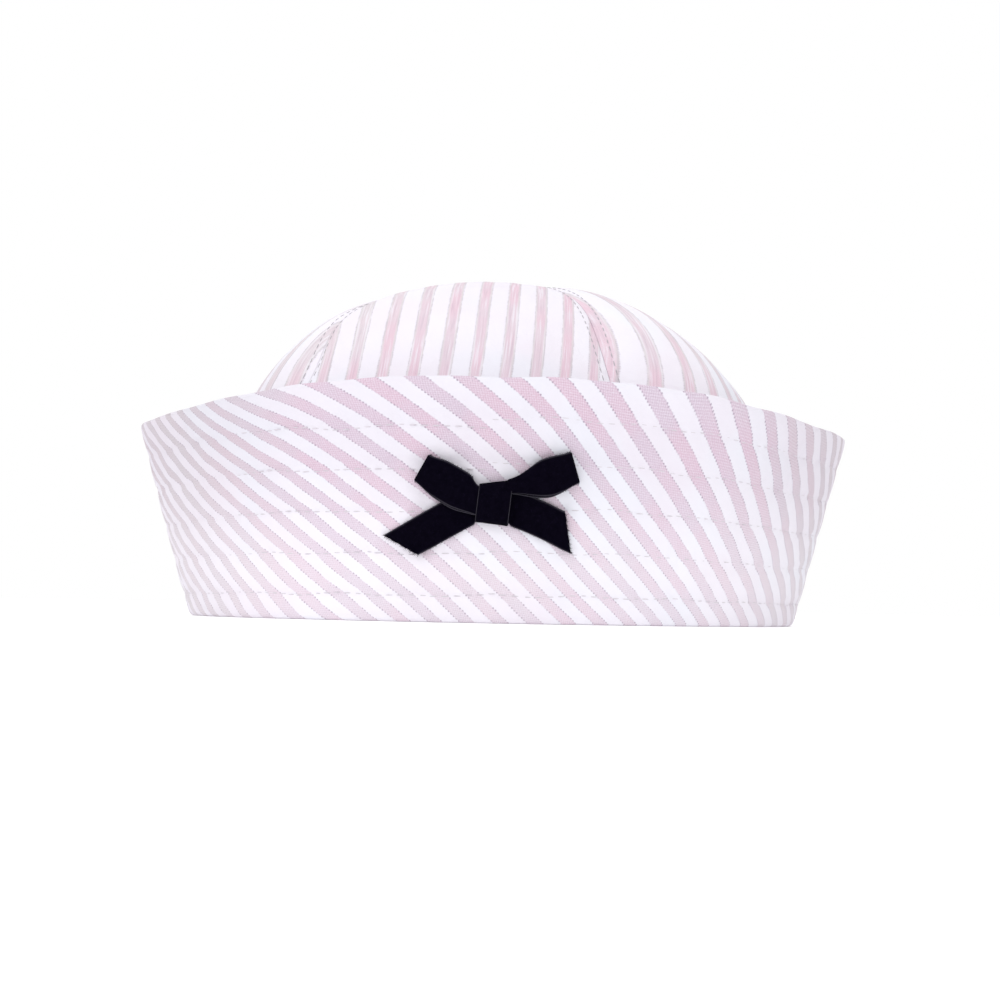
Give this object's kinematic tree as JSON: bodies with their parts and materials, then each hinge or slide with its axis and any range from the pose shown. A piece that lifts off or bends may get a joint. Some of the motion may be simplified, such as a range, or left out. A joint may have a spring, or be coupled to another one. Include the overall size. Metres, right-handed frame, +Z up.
{
  "type": "sailor hat",
  "caption": "Round sailor hat with a domed crown of sewn gores inside a tall turned-up brim of striped cotton, and a small velvet ribbon bow in front.",
  "frame": {"origin": "middle of the rim, in the plane that the hat rests on, under the middle of its box", "axes": "+Z up through the crown; the front, with the bow, faces -Y; +X is the right side as seen from the front"},
  "size_m": [0.2042, 0.2042, 0.0974],
  "materials": {
    "striped_cotton": "pink and white woven stripes, matte, slightly crinkled",
    "plain_twill": "plain pale twill, matte",
    "black_velvet": "black velvet ribbon, matte with a faint sheen at its edges"
  },
  "bodies": {
    "root": {"brim": "striped_cotton", "crown_front": "striped_cotton", "crown_right": "striped_cotton", "crown_back": "striped_cotton", "crown_left": "striped_cotton", "sweatband": "plain_twill", "bow_loop_left": "black_velvet", "bow_loop_right": "black_velvet", "bow_tail_left": "black_velvet", "bow_tail_right": "black_velvet", "bow_knot": "black_velvet"}
  },
  "joints": []
}
